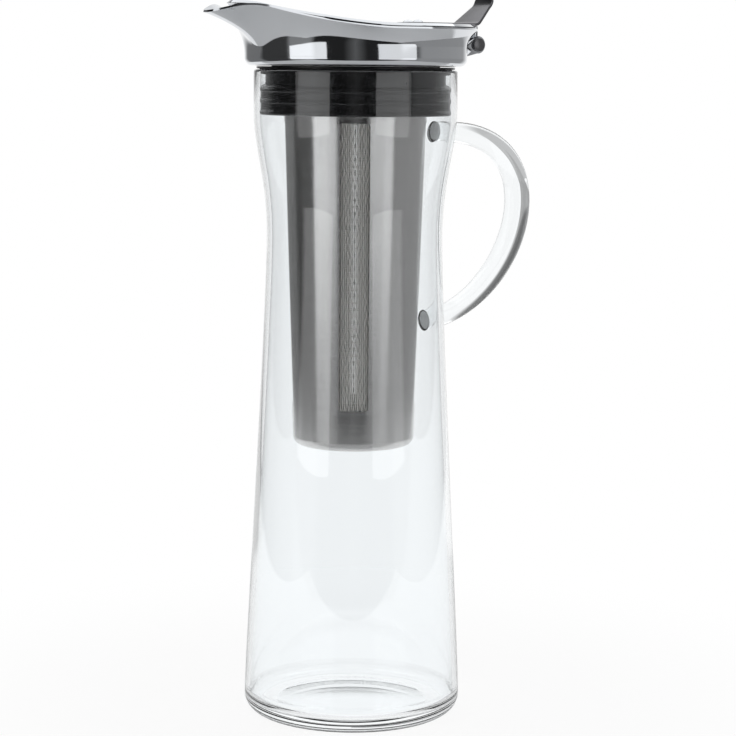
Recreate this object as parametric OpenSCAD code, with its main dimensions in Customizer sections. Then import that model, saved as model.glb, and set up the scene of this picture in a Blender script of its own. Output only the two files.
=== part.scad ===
// Cold brew coffee pitcher: a waisted glass jug with a rod handle, a silicone stopper in its
// neck, a stainless filter cup hanging in the stopper, and a stainless pouring lid whose flap
// is opened by a thumb lever.
// +Z is up and the origin is on the jug's axis, in the plane that it stands on.
// +X points to the handle and the thumb lever, and -X to the spout.

/* [Jug] */
// Height of the glass rim above the table
jug_h = 292; // [250:1:330]
// Outside diameter of the foot
foot_d = 98.4; // [90:0.2:110]
// Outside diameter at the waist
waist_d = 79; // [77:0.2:86]
// Drop from the rim to the waist
waist_drop = 75; // [66:1:86]
// Length of the straight neck below the rim
neck_h = 18; // [14:1:24]
// Thickness of the glass wall
glass_t = 2.4; // [1.8:0.1:3]
// Thickness of the glass floor
floor_t = 4.5; // [3:0.1:7]
// Radius of the corner between the wall and the foot
foot_round = 8; // [5:0.5:12]
// Width of the flat ring that the foot stands on
foot_ring_w = 7; // [4:0.5:12]
// Depth of the hollow under the foot
punt_depth = 1.5; // [0.5:0.1:2.5]

/* [Handle] */
// Drop from the rim to the handle's upper weld
handle_top_drop = 28; // [25:0.5:34]
// Drop from the rim to the handle's lower weld
handle_low_drop = 114.5; // [102:0.5:126]
// Distance from the jug's axis to the middle of the rod at its farthest
handle_reach = 91; // [84:0.5:104]
// Diameter of the rod at its farthest
rod_d = 12; // [9:0.2:14]
// Diameter of the rod near its welds
rod_end_d = 8.6; // [7:0.2:12]
// Diameter of the welds on the jug
weld_d = 10; // [9:0.2:14]

/* [Stopper] */
// Thickness of the flange that lies on the glass rim
flange_t = 1; // [0.8:0.1:3]
// Step of the flange in from the outside of the neck
flange_inset = 1.2; // [0.2:0.1:2]
// Depth of the plug below the rim
plug_h = 20; // [17:0.5:26]
// Height of the band that centres the stopper in the rim
band_h = 2.5; // [1.5:0.1:4]
// Height of the groove between that band and the plug
groove_h = 5.5; // [4:0.5:7]
// Depth of that groove
groove_depth = 2.4; // [1:0.1:3]
// Thickness of the plug's wall
plug_t = 4.8; // [4.2:0.1:5.6]
// Thickness of the shelf that the filter hangs on
shelf_t = 2.5; // [1.5:0.1:4]
// Height of the sealing fins on the plug
fin_depth = 0.5; // [0.3:0.1:0.8]

/* [Filter] */
// Outside diameter of the cup where it passes the stopper
cup_top_d = 64; // [58:0.2:66]
// Outside diameter of the cup at its floor
cup_floor_d = 54.6; // [46:0.2:57]
// Length of the cup below the stopper
cup_len = 148.5; // [110:0.5:165]
// Radius of the cup's lower corner
cup_round = 4; // [2:0.5:8]
// Thickness of the cup's sheet
cup_t = 0.8; // [0.5:0.1:1.2]
// Thickness of the ring round the cup's mouth
ring_t = 1.6; // [1:0.1:2.5]
// Width of that ring
ring_w = 5.7; // [4:0.1:8]
// Width of each slot in the cup
slot_w = 13; // [8:0.5:18]
// Height of the slots above the cup's floor
slot_low = 11; // [8:0.5:40]
// Drop from the stopper to the top of the slots
slot_drop = 3; // [2:0.5:20]
// Thickness of the mesh behind the slots
mesh_t = 0.4; // [0.3:0.1:0.8]
// Width of mesh that is welded beside a slot
mesh_lap = 2; // [1:0.5:4]
// Turn of the cup in the stopper
cup_turn = 57; // [0:1:90]

/* [Lid] */
// Reach of the collar's wall past the outside of the neck
collar_over = 4.1; // [3.5:0.1:7]
// Thickness of the collar's sheet
collar_t = 1; // [0.8:0.1:1.4]
// Radius of the collar's lower edge
lip_round = 3.4; // [2.4:0.1:4.5]
// Height of the collar's rim at the back
rim_h = 16.2; // [14:0.1:20]
// Flare of the rim past the collar's wall
rim_flare = 4.9; // [2:0.1:7]
// Reach of the spout past the collar's wall
spout_reach = 27.2; // [20:0.2:34]
// Radius of the spout's tip, seen from above
spout_tip_r = 9; // [6:0.5:13]
// Rise of the rim at the crest before the spout's lip
spout_rise = 8; // [4:0.2:12]
// Length of the spout that the flap leaves open
lip_show = 12; // [8:0.2:16]
// Radius of the flap's nose, seen from above
nose_r = 10; // [7:0.5:14]
// Depth of the sheet tube that plugs the lid into the stopper
sleeve_h = 15; // [10:0.5:15]
// Thickness of that tube
sleeve_t = 0.8; // [0.5:0.1:1.2]
// Thickness of the flap
flap_t = 1; // [0.8:0.1:1.6]
// Step of the flap's edge in from the rim
flap_inset = 0.6; // [0.2:0.1:2]

/* [Hinge and lever] */
// Distance of the hinge pin behind the collar's wall
hinge_out = 10.4; // [9:0.1:14]
// Height of the hinge pin above the collar's seat
hinge_h = 10.1; // [9:0.1:10.6]
// Diameter of the hinge pin
pin_d = 3; // [2:0.1:3.6]
// Diameter of the pin's heads
head_d = 6.2; // [5:0.1:7]
// Thickness of the pin's heads
head_t = 1.2; // [0.8:0.1:2]
// Thickness of the bracket's sheet
bracket_t = 1.2; // [0.8:0.1:1.6]
// Outside radius of the bracket's ears round the pin
ear_r = 4; // [3.4:0.1:4.8]
// Outside diameter of the knuckle on the pin
knuckle_d = 6.4; // [5.6:0.1:7]
// Width of the knuckle along the pin
knuckle_w = 17; // [12:0.2:22]
// Thickness of the web from the knuckle up to the lever
web_t = 1.6; // [1.2:0.1:2.2]
// Thickness of the lever's strip
strip_t = 1.4; // [1:0.1:2]
// Length of the lever's strip on the flap
strip_len = 24; // [16:0.5:34]
// Width of the lever's strip on the flap
strip_w = 15; // [11:0.2:19]
// Width of the lever at its bend
lever_w = 19.4; // [14:0.2:24]
// Width of the lever at its tip
lever_tip_w = 13.4; // [9:0.2:18]
// Straight length of the lever past its bend
lever_len = 10; // [8:0.5:16]
// Slope of the lever
lever_tilt = 43; // [30:1:55]
// Slope at the end of the lever's curled tip
curl_tilt = 95; // [60:1:110]
// Diameter of the rivets that hold the lever to the flap
rivet_d = 3; // [2:0.1:4]
// Diameter of the rivets' domed heads
rivet_head_d = 5; // [4:0.1:6]

/* [Clearances] */
// Gap between pieces that lift apart or swing past each other
slip = 0.3; // [0.2:0.05:0.5]
// Gap round the hinge pin
pin_gap = 0.12; // [0.05:0.01:0.2]
// Gap between sheets that are welded face to face
weld_gap = 0.03; // [0.02:0.01:0.06]

/* [Hidden] */
$fn = 96;

// Jug
waist_z = jug_h - waist_drop;
neck_z = jug_h - neck_h;
waist_r = waist_d / 2;
foot_r = foot_d / 2;
lower_ease = [0.15, 0.07];
upper_ease = [0.49, 0.31];
floor_z = punt_depth + floor_t;
inner_round = max(1, foot_round - glass_t);

// Stopper, from the filter's ring outwards to the neck that it fills
ring_r = cup_top_d / 2 + ring_w;
bore_r = ring_r + slip;
plug_r = bore_r + plug_t;
neck_r = plug_r + slip + glass_t;
flange_z = jug_h + slip;
plug_z = jug_h - plug_h;
shelf_z = plug_z + shelf_t;
shelf_r = cup_top_d / 2 + slip;
fin_r = 1.1;
fin_count = 3;

// Filter
cup_z = plug_z - cup_len;
ring_z = shelf_z + slip;
cup_top_z = ring_z + ring_t;
cup_slope = (cup_top_d - cup_floor_d) / 2 / cup_len;
slot_z0 = cup_z + slot_low;
slot_z1 = plug_z - slot_drop;

// Lid
seat_z = flange_z + flange_t + slip;
collar_r = neck_r + collar_over;
rim_r = collar_r + rim_flare;
tip_x = collar_r + spout_reach;
sleeve_r = bore_r - slip;
seat_in_r = sleeve_r - sleeve_t;
wall_share = 0.4;
bell_power = 2.2;
spout_spread = 100;
climb_x = 10;
crest_x = tip_x - 21;
crest_len = 14;
lip_drop = 0.3;
angle_steps = 104;
flare_steps = 11;
lip_steps = 4;
tip_crowding = 0.55;

// Hinge and lever
hinge_x = collar_r + hinge_out;
hinge_z = seat_z + hinge_h;
ear_in = knuckle_w / 2 + slip;
ear_out = ear_in + bracket_t;
strip_z = seat_z + rim_h + collar_t + slip + flap_t;
bend_r = 4;
curl_r = 6;
lever_x = hinge_x - 1.5;
rivet_pitch = 8;

// Points of a cubic curve through p[0] and p[3], drawn towards p[1] and p[2]
function bezier(p, u) =
    pow(1 - u, 3) * p[0] + 3 * pow(1 - u, 2) * u * p[1] + 3 * (1 - u) * u * u * p[2] + pow(u, 3) * p[3];

// Points of an arc about c, from angle a to angle b
function arc(c, r, a, b, n) = [for (i = [0:n]) c + r * [cos(a + (b - a) * i / n), sin(a + (b - a) * i / n)]];

// Outside of the jug, [radius, height], in its two curves below and above the waist
lower_curve = let (run = waist_z - foot_round) [
    [foot_r, foot_round],
    [foot_r, foot_round + lower_ease[1] * run],
    [waist_r, waist_z - lower_ease[0] * run],
    [waist_r, waist_z]
];
upper_curve = let (run = neck_z - waist_z) [
    [waist_r, waist_z],
    [waist_r, waist_z + upper_ease[0] * run],
    [neck_r, neck_z - upper_ease[1] * run],
    [neck_r, neck_z]
];

// Radius of the jug's outside at a height, found by halving the curve's parameter
function curve_r(p, z, lo = 0, hi = 1, n = 24) =
    let (mid = (lo + hi) / 2, q = bezier(p, mid))
    n == 0 ? q[0] : q[1] < z ? curve_r(p, z, mid, hi, n - 1) : curve_r(p, z, lo, mid, n - 1);
function jug_r(z) = z < waist_z ? curve_r(lower_curve, z) : curve_r(upper_curve, z);

jug_side = concat(
    [for (i = [0:22]) bezier(lower_curve, i / 22)],
    [for (i = [1:16]) bezier(upper_curve, i / 16)]
);

module glass_jug() {
    ring_out = foot_r - foot_round;
    rim = arc([neck_r - glass_t / 2, jug_h - glass_t / 2], glass_t / 2, 0, 180, 8);
    inner = [for (i = [len(jug_side) - 1:-1:0]) if (jug_side[i][1] > floor_z + inner_round)
        jug_side[i] - [glass_t, 0]];
    inner_corner = arc(
        [foot_r - glass_t - inner_round, floor_z + inner_round], inner_round, 0, -90, 6);
    color([0.9, 0.95, 0.97, 0.35])
        rotate_extrude()
            polygon(concat(
                [[0, punt_depth], [ring_out - foot_ring_w - 4 * punt_depth, punt_depth]],
                [[ring_out - foot_ring_w, 0]],
                arc([ring_out, foot_round], foot_round, -90, 0, 8),
                [for (i = [1:len(jug_side) - 1]) jug_side[i]],
                rim, inner, inner_corner, [[0, floor_z]]
            ));
}

// Middle line of the handle, [radius, height], from the upper weld to the lower one
handle_z0 = jug_h - handle_top_drop;
handle_z1 = jug_h - handle_low_drop;
weld_sink = glass_t / 2;
handle_z = (handle_z0 * 0.62 + handle_z1 * 0.38);
handle_upper = let (r0 = jug_r(handle_z0) - weld_sink, run = handle_reach - r0) [
    [r0, handle_z0],
    [r0 + 0.6 * run, handle_z0 + 1.5],
    [handle_reach, handle_z + 0.69 * (handle_z0 - handle_z)],
    [handle_reach, handle_z]
];
handle_lower = let (r1 = jug_r(handle_z1) - weld_sink, run = handle_reach - r1) [
    [handle_reach, handle_z],
    [handle_reach, handle_z - 0.44 * (handle_z - handle_z1)],
    [r1 + 0.56 * run, handle_z1 + 3.5],
    [r1, handle_z1]
];
handle_path = concat(
    [for (i = [0:15]) bezier(handle_upper, i / 16)],
    [for (i = [0:16]) bezier(handle_lower, i / 16)]
);

// The rod swells from its welds to its farthest point, and spreads where it is fused on
function rod_r(u) =
    let (s = sin(180 * u), end = min(u, 1 - u) * 32)
    rod_end_d / 2 + (rod_d - rod_end_d) / 2 * s + max(0, weld_d - rod_end_d) / 2 * exp(-1.2 * end);

module glass_handle() {
    sides = 20;
    last = len(handle_path) - 1;
    points = [for (i = [0:last], k = [0:sides - 1])
        let (
            a = handle_path[max(0, i - 1)], b = handle_path[min(last, i + 1)],
            along = (b - a) / norm(b - a),
            across = [along[1], -along[0]],
            r = rod_r(i / last), turn = 360 * k / sides,
            p = handle_path[i] + r * cos(turn) * across
        ) [p[0], r * sin(turn), p[1]]];
    sides_faces = [for (i = [0:last - 1], k = [0:sides - 1], half = [0, 1])
        let (a = i * sides + k, b = i * sides + (k + 1) % sides)
        half == 0 ? [a, b, b + sides] : [a, b + sides, a + sides]];
    first_cap = [for (k = [0:sides - 1]) sides - 1 - k];
    last_cap = [for (k = [0:sides - 1]) last * sides + k];
    color([0.9, 0.95, 0.97, 0.45])
        polyhedron(points, concat(sides_faces, [first_cap, last_cap]));
}

module stopper_gasket() {
    body_r = plug_r - fin_depth;
    plug_top = jug_h - band_h - groove_h;
    color([0.1, 0.1, 0.11])
        rotate_extrude() {
            translate([bore_r, flange_z]) square([neck_r - flange_inset - bore_r, flange_t]);
            translate([bore_r, jug_h - band_h]) square([plug_r - bore_r, band_h + slip]);
            translate([bore_r, plug_z]) square([plug_r - groove_depth - bore_r, jug_h - plug_z]);
            translate([bore_r, plug_z]) square([body_r - bore_r, plug_top - plug_z]);
            translate([shelf_r, plug_z]) square([bore_r - shelf_r, shelf_t]);
            for (i = [0:fin_count - 1])
                translate([
                    plug_r - fin_r,
                    plug_z + fin_r + i * (plug_top - plug_z - 2 * fin_r) / (fin_count - 1)
                ]) circle(fin_r);
        }
}

// Outside radius of the filter cup at a height
function cup_r(z) = cup_floor_d / 2 + cup_slope * (z - cup_z);

// One slot's outline pushed out from the axis, widened on all sides by extra
module slot_cut(k, extra) {
    w = slot_w + 2 * extra;
    h = slot_z1 - slot_z0 + 2 * extra;
    rotate([0, 0, cup_turn + 90 * k])
        translate([0, -w / 2, slot_z0 - extra]) cube([cup_top_d, w, h]);
}

module filter_cup() {
    corner_r = cup_r(cup_z + cup_round) - cup_round;
    outer = concat(
        [[0, cup_z]], arc([corner_r, cup_z + cup_round], cup_round, -90, 0, 6),
        [[cup_r(cup_top_z), cup_top_z]]
    );
    inner = concat(
        [[cup_r(cup_top_z) - cup_t, cup_top_z]],
        arc([corner_r, cup_z + cup_round], cup_round - cup_t, 0, -90, 6),
        [[0, cup_z + cup_t]]
    );
    color([0.72, 0.72, 0.73])
        difference() {
            rotate_extrude() polygon(concat(outer, inner));
            for (k = [0:3]) slot_cut(k, 0);
        }
}

module filter_ring() {
    color([0.75, 0.75, 0.76])
        rotate_extrude() {
            polygon([
                [cup_r(ring_z) + weld_gap, ring_z], [ring_r - ring_t / 2, ring_z],
                [ring_r - ring_t / 2, ring_z + ring_t], [cup_r(cup_top_z) + weld_gap, cup_top_z]
            ]);
            translate([ring_r - ring_t / 2, ring_z + ring_t / 2]) circle(ring_t / 2);
        }
}

module mesh_strip(k) {
    low = slot_z0 - 2 * mesh_lap;
    high = slot_z1 + 2 * mesh_lap;
    back = cup_t + weld_gap;
    color([0.6, 0.6, 0.61])
        intersection() {
            rotate_extrude()
                polygon([
                    [cup_r(low) - back - mesh_t, low], [cup_r(low) - back, low],
                    [cup_r(high) - back, high], [cup_r(high) - back - mesh_t, high]
                ]);
            slot_cut(k, mesh_lap);
        }
}

// Outline of a circle R drawn out to a tip circle q that reaches K: its radius at angle a off the tip
function beak(R, K, q, a) =
    let (d = K - q, flat = acos(min(1, (R - q) / d)), nose = atan2(q * sin(flat), d + q * cos(flat)))
    a < nose ? d * cos(a) + sqrt(max(0, q * q - pow(d * sin(a), 2)))
    : a < flat ? R / cos(flat - a) : R;

// Height of the collar's rim over the seat, at a distance x from the axis towards the spout
climb = spout_rise / pow(crest_x - climb_x, 2);
function rim_line(x) =
    let (
        over = min(max(0, x - crest_x), crest_len), past = max(0, x - crest_x - crest_len),
        slope = 2 * climb * (crest_x - climb_x), bow = (slope + lip_drop) / 2 / crest_len
    )
    rim_h + climb * pow(max(0, min(x, crest_x) - climb_x), 2) + slope * over - bow * over * over
        - lip_drop * past;

// Collar's outside at angle a off the spout and share u of the way from its lower edge to its rim:
// it stays upright at first behind, and bows out all the way under the spout
function flare_r(a, u) =
    let (
        rim = beak(rim_r, tip_x, spout_tip_r, a),
        behind = pow(max(0, u - wall_share) / (1 - wall_share), 2),
        near = (1 + cos(180 * min(1, a / spout_spread))) / 2
    )
    collar_r + (rim - collar_r) * (behind + (pow(u, bell_power) - behind) * near);
function flare_at(a, u) =
    let (rim_z = rim_line(flare_r(a, 1) * cos(a)))
    [flare_r(a, u), lip_round + u * (rim_z - lip_round)];
function flare_inside(a, u) =
    let (
        du = 0.02, along = flare_at(a, min(1, u + du)) - flare_at(a, max(0, u - du)),
        n = along / norm(along)
    )
    flare_at(a, u) + collar_t * [-n[1], n[0]];

// One closed section of the collar's sheet: seat, lower edge, wall and flare, out and back in
function collar_section(a) =
    let (c = [collar_r - lip_round, lip_round])
    concat(
        [[seat_in_r, 0]],
        arc(c, lip_round, -90, 0, lip_steps),
        [for (i = [1:flare_steps]) flare_at(a, i / flare_steps)],
        [for (i = [flare_steps:-1:1]) flare_inside(a, i / flare_steps)],
        arc(c, lip_round - collar_t, 0, -90, lip_steps),
        [[seat_in_r, collar_t]]
    );

module spout_collar() {
    sections = [for (i = [0:angle_steps - 1])
        let (s = 2 * i / angle_steps - 1, a = 180 * ((1 - tip_crowding) * s + tip_crowding * s * s * s))
        [for (p = collar_section(abs(a))) [-p[0] * cos(a), -p[0] * sin(a), seat_z + p[1]]]];
    m = len(sections[0]);
    faces = [for (i = [0:angle_steps - 1], j = [0:m - 1], half = [0, 1])
        let (
            a = i * m + j, b = i * m + (j + 1) % m,
            c = ((i + 1) % angle_steps) * m + (j + 1) % m, d = ((i + 1) % angle_steps) * m + j
        )
        half == 0 ? [a, b, c] : [a, c, d]];
    color([0.75, 0.76, 0.78])
        polyhedron([for (s = sections) each s], faces);
}

module collar_sleeve() {
    color([0.7, 0.71, 0.73])
        rotate_extrude()
            translate([seat_in_r, seat_z - sleeve_h]) square([sleeve_t, sleeve_h - weld_gap]);
}

// A side view drawn in X and Z, pushed out to a width w along Y
module across(w) {
    translate([0, w / 2, 0]) rotate([90, 0, 0]) linear_extrude(w) children();
}

module hinge_bracket() {
    low = seat_z + lip_round;
    high = seat_z + lip_round + wall_share * (rim_h - lip_round);
    face_r = collar_r + weld_gap;
    color([0.66, 0.67, 0.69])
        difference() {
            union() {
                across(2 * ear_out)
                    translate([face_r - bracket_t, low]) square([2 * bracket_t, high - low]);
                for (side = [-1, 1])
                    translate([0, side * (ear_in + ear_out) / 2, 0])
                        across(bracket_t) {
                            polygon([
                                [face_r - bracket_t, low], [hinge_x, hinge_z - ear_r],
                                [hinge_x, hinge_z + ear_r], [face_r - bracket_t, high]
                            ]);
                            translate([hinge_x, hinge_z]) circle(ear_r);
                        }
            }
            translate([0, 0, low - rim_h]) cylinder(r = face_r, h = 3 * rim_h);
            translate([hinge_x, 0, hinge_z]) rotate([90, 0, 0])
                cylinder(d = pin_d + 2 * weld_gap, h = 4 * ear_out, center = true);
        }
}

module hinge_pin() {
    color([0.55, 0.56, 0.58])
        translate([hinge_x, 0, hinge_z]) rotate([90, 0, 0]) {
            cylinder(d = pin_d, h = 2 * (ear_out + weld_gap + head_t), center = true);
            for (side = [-1, 1])
                translate([0, 0, side * (ear_out + weld_gap + head_t / 2)])
                    cylinder(d = head_d, h = head_t, center = true);
        }
}

// Underside of the closed flap over the seat, at a distance x from the axis towards the spout
function flap_line(x) = rim_line(x) + collar_t + slip;

module lid_flap() {
    steps = 30;
    reach = tip_x - lip_show;
    back = rim_r - flap_inset;
    xs = [for (i = [0:steps]) -back + (reach + back) * i / steps];
    side = concat(
        [for (x = xs) [-x, seat_z + flap_line(x)]],
        [for (i = [steps:-1:0]) [-xs[i], seat_z + flap_line(xs[i]) + flap_t]]
    );
    d = reach - nose_r;
    flat = acos((back - nose_r) / d);
    color([0.78, 0.79, 0.81])
        intersection() {
            across(3 * back) polygon(side);
            translate([0, 0, seat_z]) linear_extrude(4 * rim_h) {
                circle(back);
                translate([-d, 0]) circle(nose_r);
                polygon([
                    back * [-cos(flat), sin(flat)], [-d, 0] + nose_r * [-cos(flat), sin(flat)],
                    [-d, 0] + nose_r * [-cos(flat), -sin(flat)], back * [-cos(flat), -sin(flat)]
                ]);
            }
        }
}

module hinge_knuckle() {
    color([0.66, 0.67, 0.69])
        difference() {
            across(knuckle_w) {
                translate([hinge_x, hinge_z]) circle(d = knuckle_d);
                translate([hinge_x - web_t / 2, hinge_z]) square([web_t, strip_z - hinge_z]);
            }
            translate([hinge_x, 0, hinge_z]) rotate([90, 0, 0])
                cylinder(d = pin_d + 2 * pin_gap, h = 2 * knuckle_w, center = true);
        }
}

// Middle line of the lever's strip: flat on the flap, bent up to its slope, then curled at the tip
lever_bend = [lever_x, strip_z + strip_t / 2 + bend_r];
lever_slope = [cos(lever_tilt), sin(lever_tilt)];
lever_start = lever_bend + bend_r * [sin(lever_tilt), -cos(lever_tilt)];
lever_end = lever_start + lever_len * lever_slope;
lever_curl = lever_end + curl_r * [-sin(lever_tilt), cos(lever_tilt)];
function lever_side(side) =
    let (half = side * strip_t / 2)
    concat(
        [[hinge_x - strip_len - hinge_out, strip_z + strip_t / 2 + half]],
        arc(lever_bend, bend_r - half, -90, lever_tilt - 90, 6),
        arc(lever_curl, curl_r - half, lever_tilt - 90, curl_tilt - 90, 6)
    );

module thumb_lever() {
    low = lever_side(-1);
    high = lever_side(1);
    tip = lever_curl[0] + curl_r + strip_t;
    color([0.6, 0.61, 0.63])
        difference() {
            intersection() {
                across(2 * lever_w)
                    polygon(concat(low, [for (i = [len(high) - 1:-1:0]) high[i]]));
                translate([0, 0, seat_z]) linear_extrude(6 * rim_h)
                    polygon([
                        [0, strip_w / 2], [collar_r, strip_w / 2], [lever_x, lever_w / 2],
                        [lever_start[0], lever_w / 2], [lever_end[0], lever_tip_w / 2],
                        [tip, lever_tip_w / 2], [tip, -lever_tip_w / 2],
                        [lever_end[0], -lever_tip_w / 2], [lever_start[0], -lever_w / 2],
                        [lever_x, -lever_w / 2], [collar_r, -strip_w / 2], [0, -strip_w / 2]
                    ]);
            }
            rivet_places() cylinder(d = rivet_d + 2 * weld_gap, h = 4 * strip_t, center = true);
        }
}

// The two rivets stand side by side near the front of the lever's strip
module rivet_places() {
    for (side = [-1, 1])
        translate([hinge_x - hinge_out - strip_len + rivet_head_d, side * rivet_pitch / 2, strip_z])
            children();
}

module lever_rivets() {
    head_h = rivet_head_d / 4;
    ball_r = (pow(rivet_head_d / 2, 2) + head_h * head_h) / 2 / head_h;
    color([0.62, 0.63, 0.65])
        rivet_places() {
            cylinder(d = rivet_d, h = strip_t);
            translate([0, 0, strip_t])
                intersection() {
                    translate([0, 0, head_h - ball_r]) sphere(ball_r);
                    cylinder(d = rivet_head_d, h = rivet_head_d);
                }
        }
}

glass_jug();
glass_handle();
stopper_gasket();
filter_cup();
filter_ring();
mesh_strip(0);  // mesh_strip_1
mesh_strip(1);  // mesh_strip_2
mesh_strip(2);  // mesh_strip_3
mesh_strip(3);  // mesh_strip_4
spout_collar();
collar_sleeve();
hinge_bracket();
hinge_pin();
lid_flap();
hinge_knuckle();
thumb_lever();
lever_rivets();
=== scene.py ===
"""Looks of a cold brew coffee pitcher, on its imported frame: blown glass, black silicone, polished steel.

Lengths are in millimetres and turn to metres where a mesh or a lamp is made. +Z is up on the jug's axis,
+X points to the handle and -X to the spout.
"""

import math

import bmesh
import bpy
import numpy as np
from mathutils import Matrix, Vector


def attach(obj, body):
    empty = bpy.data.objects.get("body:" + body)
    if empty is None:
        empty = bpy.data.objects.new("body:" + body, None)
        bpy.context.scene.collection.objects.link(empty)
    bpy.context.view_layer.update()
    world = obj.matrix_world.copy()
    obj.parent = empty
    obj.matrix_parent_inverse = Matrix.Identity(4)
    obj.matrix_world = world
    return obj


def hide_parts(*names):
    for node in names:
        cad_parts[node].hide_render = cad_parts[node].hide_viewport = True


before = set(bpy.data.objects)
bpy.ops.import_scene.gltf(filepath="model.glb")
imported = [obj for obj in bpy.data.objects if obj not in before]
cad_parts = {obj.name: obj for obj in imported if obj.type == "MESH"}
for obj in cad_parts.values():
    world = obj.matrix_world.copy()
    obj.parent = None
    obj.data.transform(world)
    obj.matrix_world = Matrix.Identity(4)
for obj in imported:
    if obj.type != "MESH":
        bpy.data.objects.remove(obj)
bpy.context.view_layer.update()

MM = 0.001
# Gap between pieces that touch, so that no two faces lie in one place
SKIN = 0.03

# Glass jug
JUG_H = 292.0
FOOT_R = 49.2
WAIST_R = 39.5
WAIST_Z = 217.0
NECK_R = 45.5
NECK_Z = 274.0
GLASS_T = 2.4
FLOOR_Z = 6.0
FOOT_ROUND = 8.0
FOOT_RING_W = 7.0
PUNT_DEPTH = 1.5
LOWER_EASE = (0.15, 0.07)
UPPER_EASE = (0.49, 0.31)

# Glass handle, with the upper root's value first
HANDLE_Z = (264.0, 177.5)
HANDLE_REACH = 91.0
HANDLE_BULGE_SHARE = 0.62
ROOT_OUT = (0.6, 0.56)
ROOT_LIFT = (1.5, 3.5)
BOW_HOLD = (0.69, 0.44)
ROD_R = 6.0
ROD_END_R = 4.3
WELD_FLARE = 0.7
WELD_RUN = 6.0
WELD_POWER = 1.4
SEAM_R = 4.2
SEAM_T = 0.4
SEAM_RUN = 3.0

# Silicone stopper
PLUG_R = 42.8
PLUG_Z = 272.0
BORE_R = 38.0
SHELF_R = 32.3
SHELF_T = 2.5
BAND_H = 2.5
GROOVE_H = 5.5
GROOVE_DEPTH = 2.4
FLANGE_R = 44.3
FLANGE_Z = (292.3, 293.3)
FIN_R = 1.1
FIN_DEPTH = 0.5
FIN_COUNT = 3
FIN_FLAT = 0.3
GROOVE_SLANT = 0.2
STOPPER_EDGE = 0.5

# Filter cup and its mesh
CUP_TOP_R = 32.0
CUP_FLOOR_R = 27.3
CUP_Z = 123.5
CUP_MOUTH_Z = 276.4
CUP_ROUND = 4.0
CUP_T = 0.8
CUP_SLOPE = (CUP_TOP_R - CUP_FLOOR_R) / (PLUG_Z - CUP_Z)
CUP_TURN = math.radians(57)
RING_R = 37.7
RING_T = 1.6
SLOT_W = 13.0
SLOT_Z = (142.0, 269.0)
SLOT_ROUND = 1.2
SLOT_COUNT = 4
SLOT_STEP = 2 * math.pi / SLOT_COUNT
SLOT_END = 8.0
MESH_LAP = 2.0
WARP_R = 0.45
WEFT_R = 0.2
WEFT_PITCH = 3.0
MESH_GAP = 0.05

# Pouring lid
SEAT_Z = 293.6
COLLAR_R = 49.6
COLLAR_T = 1.0
LIP_ROUND = 3.4
RIM_H = 16.2
RIM_FLARE = 4.9
SPOUT_REACH = 27.2
SPOUT_TIP_R = 9.0
SPOUT_RISE = 8.0
TIP_X = COLLAR_R + SPOUT_REACH
WALL_SHARE = 0.4
BELL_POWER = 2.2
SPOUT_SPREAD = math.radians(100)
CLIMB_X = 10.0
CREST_X = TIP_X - 21.0
CREST_LEN = 14.0
LIP_DROP = 0.3
RIM_CUT = 0.995
SLEEVE_R = 37.7
SLEEVE_T = 0.8
SLEEVE_H = 15.0
SHEET_EDGE = 0.3
FLAP_BACK_R = 53.9
FLAP_REACH = 64.8
FLAP_NOSE_R = 10.0
FLAP_T = 1.0
FLAP_HEM = 0.25
FLAP_CHAMFER = 1.3
FLAP_LAND = 0.15
SLIP = 0.3

# Hinge and thumb lever
HINGE_X = 60.0
HINGE_Z = 303.7
PIN_R = 1.5
HEAD_R = 3.1
HEAD_T = 1.2
HEAD_ROUND = 0.5
EAR_IN = 8.8
EAR_T = 1.2
EAR_R = 4.0
EAR_INSET = 0.2
EYE_WRAP = 0.3
KNUCKLE_R = 3.2
KNUCKLE_W = 17.0
KNUCKLE_BORE_R = 1.62
WEB_T = 1.6
STRIP_Z = SEAT_Z + RIM_H + COLLAR_T + SLIP + FLAP_T
STRIP_T = 1.4
STRIP_X = 25.6
STRIP_W = 15.0
LEVER_X = 58.5
LEVER_W = 19.4
LEVER_TIP_W = 13.4
LEVER_LEN = 10.0
LEVER_CORNER = 2.5
LEVER_EDGE = 0.45
LEVER_TILT = math.radians(43)
CURL_TILT = math.radians(95)
BEND_R = 4.0
CURL_R = 6.0
RIVET_X = 30.6
RIVET_PITCH = 8.0
RIVET_HEAD_R = 2.5
RIVET_SINK = 0.02

# Fineness of the round surfaces
TURN_STEPS = 256
SMALL_STEPS = 48
ROUND_STEPS = 6


# Outlines, as lists of (radius or x, height) points

def bezier(p, u):
    """Point of a cubic curve through p[0] and p[3], drawn towards p[1] and p[2]."""
    p = np.asarray(p, float)
    return (1 - u) ** 3 * p[0] + 3 * (1 - u) ** 2 * u * p[1] + 3 * (1 - u) * u * u * p[2] + u ** 3 * p[3]


def curve(p, steps):
    """Points along a cubic curve, without its first one."""
    return [tuple(bezier(p, i / steps)) for i in range(1, steps + 1)]


def arc(centre, radius, start, end, steps=ROUND_STEPS):
    """Points of an arc about a centre, between two angles in degrees."""
    turns = np.radians(np.linspace(start, end, steps + 1))
    return [(centre[0] + radius * math.cos(t), centre[1] + radius * math.sin(t)) for t in turns]


def run_along(line):
    """Length of a line of points up to each one."""
    return np.concatenate([[0], np.cumsum(np.linalg.norm(np.diff(line, axis=0), axis=1))])


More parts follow.
